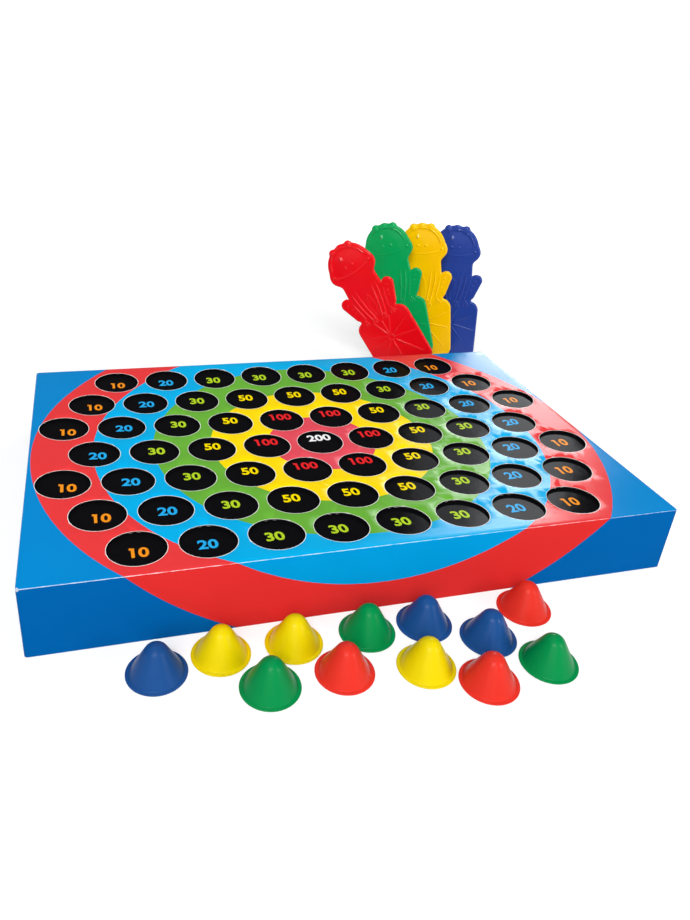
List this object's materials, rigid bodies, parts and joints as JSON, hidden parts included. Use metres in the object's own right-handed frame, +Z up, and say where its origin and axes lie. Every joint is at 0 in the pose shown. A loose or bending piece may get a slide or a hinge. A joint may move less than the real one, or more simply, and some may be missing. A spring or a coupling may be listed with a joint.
{
  "type": "target flipping game",
  "caption": "Carton game box whose lid is a target of punched holes over a score layer, with loose cone hats and flat springy frog flippers that toss them.",
  "frame": {"origin": "middle of the tray's underside, on the table", "axes": "+X to the right along the box's long side, +Y to the back, towards the flippers, +Z up"},
  "size_m": [0.4061, 0.4437, 0.1321],
  "materials": {
    "tray_card": "matt uncoated card",
    "score_card": "black gloss print",
    "target_card": "glossy laminated print",
    "hat_red": "satin moulded",
    "hat_green": "satin moulded",
    "hat_yellow": "satin moulded",
    "hat_blue": "satin moulded",
    "flipper_red": "glossy moulded",
    "flipper_green": "glossy moulded",
    "flipper_yellow": "glossy moulded",
    "flipper_blue": "glossy moulded"
  },
  "bodies": {
    "tray": {"base_tray": "tray_card"},
    "cover": {"score_cover": "score_card"},
    "lid": {"target_lid": "target_card"},
    "hat_blue_1": {"hat_blue_1": "hat_blue"},
    "hat_blue_2": {"hat_blue_2": "hat_blue"},
    "hat_blue_3": {"hat_blue_3": "hat_blue"},
    "hat_yellow_1": {"hat_yellow_1": "hat_yellow"},
    "hat_yellow_2": {"hat_yellow_2": "hat_yellow"},
    "hat_yellow_3": {"hat_yellow_3": "hat_yellow"},
    "hat_green_1": {"hat_green_1": "hat_green"},
    "hat_green_2": {"hat_green_2": "hat_green"},
    "hat_green_3": {"hat_green_3": "hat_green"},
    "hat_red_1": {"hat_red_1": "hat_red"},
    "hat_red_2": {"hat_red_2": "hat_red"},
    "hat_red_3": {"hat_red_3": "hat_red"},
    "flipper_red": {"flipper_red": "flipper_red"},
    "flipper_green": {"flipper_green": "flipper_green"},
    "flipper_yellow": {"flipper_yellow": "flipper_yellow"},
    "flipper_blue": {"flipper_blue": "flipper_blue"}
  },
  "joints": [
    {"name": "lid_lift", "type": "slide", "parent": "tray", "child": "lid", "axis": [0, 0, 1], "range_m": [0, 0.09]},
    {"name": "cover_lift", "type": "slide", "parent": "tray", "child": "cover", "axis": [0, 0, 1], "range_m": [0, 0.045]},
    {"name": "hat_lift_blue_1", "type": "slide", "parent": "tray", "child": "hat_blue_1", "axis": [0, 0, 1], "range_m": [0, 0.08]},
    {"name": "hat_lift_blue_2", "type": "slide", "parent": "tray", "child": "hat_blue_2", "axis": [0, 0, 1], "range_m": [0, 0.08]},
    {"name": "hat_lift_blue_3", "type": "slide", "parent": "tray", "child": "hat_blue_3", "axis": [0, 0, 1], "range_m": [0, 0.08]},
    {"name": "hat_lift_yellow_1", "type": "slide", "parent": "tray", "child": "hat_yellow_1", "axis": [0, 0, 1], "range_m": [0, 0.08]},
    {"name": "hat_lift_yellow_2", "type": "slide", "parent": "tray", "child": "hat_yellow_2", "axis": [0, 0, 1], "range_m": [0, 0.08]},
    {"name": "hat_lift_yellow_3", "type": "slide", "parent": "tray", "child": "hat_yellow_3", "axis": [0, 0, 1], "range_m": [0, 0.08]},
    {"name": "hat_lift_green_1", "type": "slide", "parent": "tray", "child": "hat_green_1", "axis": [0, 0, 1], "range_m": [0, 0.08]},
    {"name": "hat_lift_green_2", "type": "slide", "parent": "tray", "child": "hat_green_2", "axis": [0, 0, 1], "range_m": [0, 0.08]},
    {"name": "hat_lift_green_3", "type": "slide", "parent": "tray", "child": "hat_green_3", "axis": [0, 0, 1], "range_m": [0, 0.08]},
    {"name": "hat_lift_red_1", "type": "slide", "parent": "tray", "child": "hat_red_1", "axis": [0, 0, 1], "range_m": [0, 0.08]},
    {"name": "hat_lift_red_2", "type": "slide", "parent": "tray", "child": "hat_red_2", "axis": [0, 0, 1], "range_m": [0, 0.08]},
    {"name": "hat_lift_red_3", "type": "slide", "parent": "tray", "child": "hat_red_3", "axis": [0, 0, 1], "range_m": [0, 0.08]},
    {"name": "flipper_lift_red", "type": "slide", "parent": "tray", "child": "flipper_red", "axis": [0, 0, 1], "range_m": [0, 0.08]},
    {"name": "flipper_lift_green", "type": "slide", "parent": "tray", "child": "flipper_green", "axis": [0, 0, 1], "range_m": [0, 0.08]},
    {"name": "flipper_lift_yellow", "type": "slide", "parent": "tray", "child": "flipper_yellow", "axis": [0, 0, 1], "range_m": [0, 0.08]},
    {"name": "flipper_lift_blue", "type": "slide", "parent": "tray", "child": "flipper_blue", "axis": [0, 0, 1], "range_m": [0, 0.08]}
  ],
  "couplings": [
    {"joint": "cover_lift", "follows": "lid_lift", "ratio": 0.5}
  ]
}
